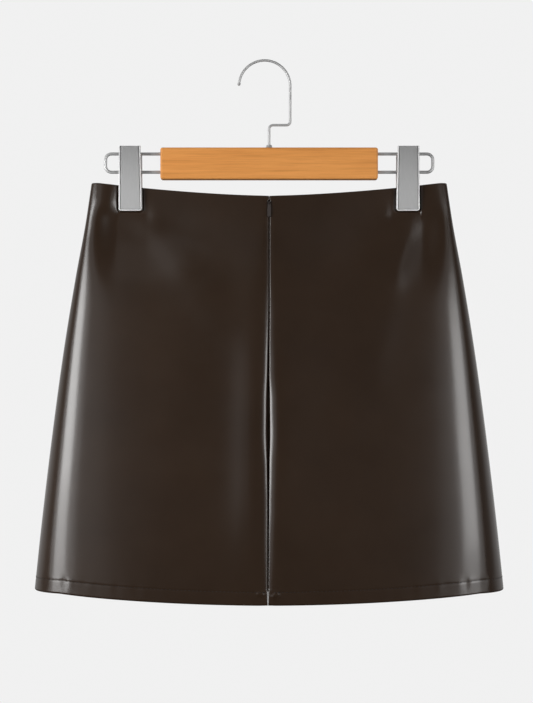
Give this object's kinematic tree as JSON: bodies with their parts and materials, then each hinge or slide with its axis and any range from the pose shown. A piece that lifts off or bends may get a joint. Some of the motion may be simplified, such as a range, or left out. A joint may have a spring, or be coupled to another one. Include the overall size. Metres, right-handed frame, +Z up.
{
  "type": "leather mini skirt on a clip hanger",
  "caption": "Flared leather mini skirt with a centre back seam and concealed zip, held flat at the waist by the clips of a wooden hanger with a steel hook.",
  "frame": {"origin": "the underside of the hook, on the rail, right above the skirt's centre line", "axes": "+Z up, from the hem to the hook; -Y out of the skirt's back, the side with the centre seam and zip; +X to the right of someone who looks at that side"},
  "size_m": [0.4448, 0.0884, 0.5124],
  "materials": {
    "leather": "smooth satin dark brown leather",
    "zip_tape": "woven dark brown polyester tape",
    "zip_coil": "dark brown nylon coil",
    "zip_metal": "painted brown-grey zinc",
    "wood": "lacquered light brown wood, straight grain",
    "wire_steel": "satin nickel-plated wire",
    "clip_steel": "satin grey pressed sheet steel"
  },
  "bodies": {
    "skirt_and_hanger": {"panel_back_left": "leather", "panel_back_right": "leather", "panel_front": "leather", "zip_tape_left": "zip_tape", "zip_tape_right": "zip_tape", "zip_coil": "zip_coil", "zip_slider": "zip_metal", "hanger_bar": "wood", "hanger_hook": "wire_steel", "hook_collar": "wire_steel", "hanger_wire_left": "wire_steel", "hanger_wire_right": "wire_steel", "clip_left_jaw_near": "clip_steel", "clip_left_jaw_far": "clip_steel", "clip_left_core": "clip_steel", "clip_right_jaw_near": "clip_steel", "clip_right_jaw_far": "clip_steel", "clip_right_core": "clip_steel"},
    "zip_pull": {"zip_pull_tab": "zip_metal"}
  },
  "joints": [
    {"name": "zip_pull_hinge", "type": "hinge", "parent": "skirt_and_hanger", "child": "zip_pull", "pos_m": [0, -0.00906, -0.1342], "axis": [-1, 0, 0], "range_deg": [0, 150]}
  ]
}
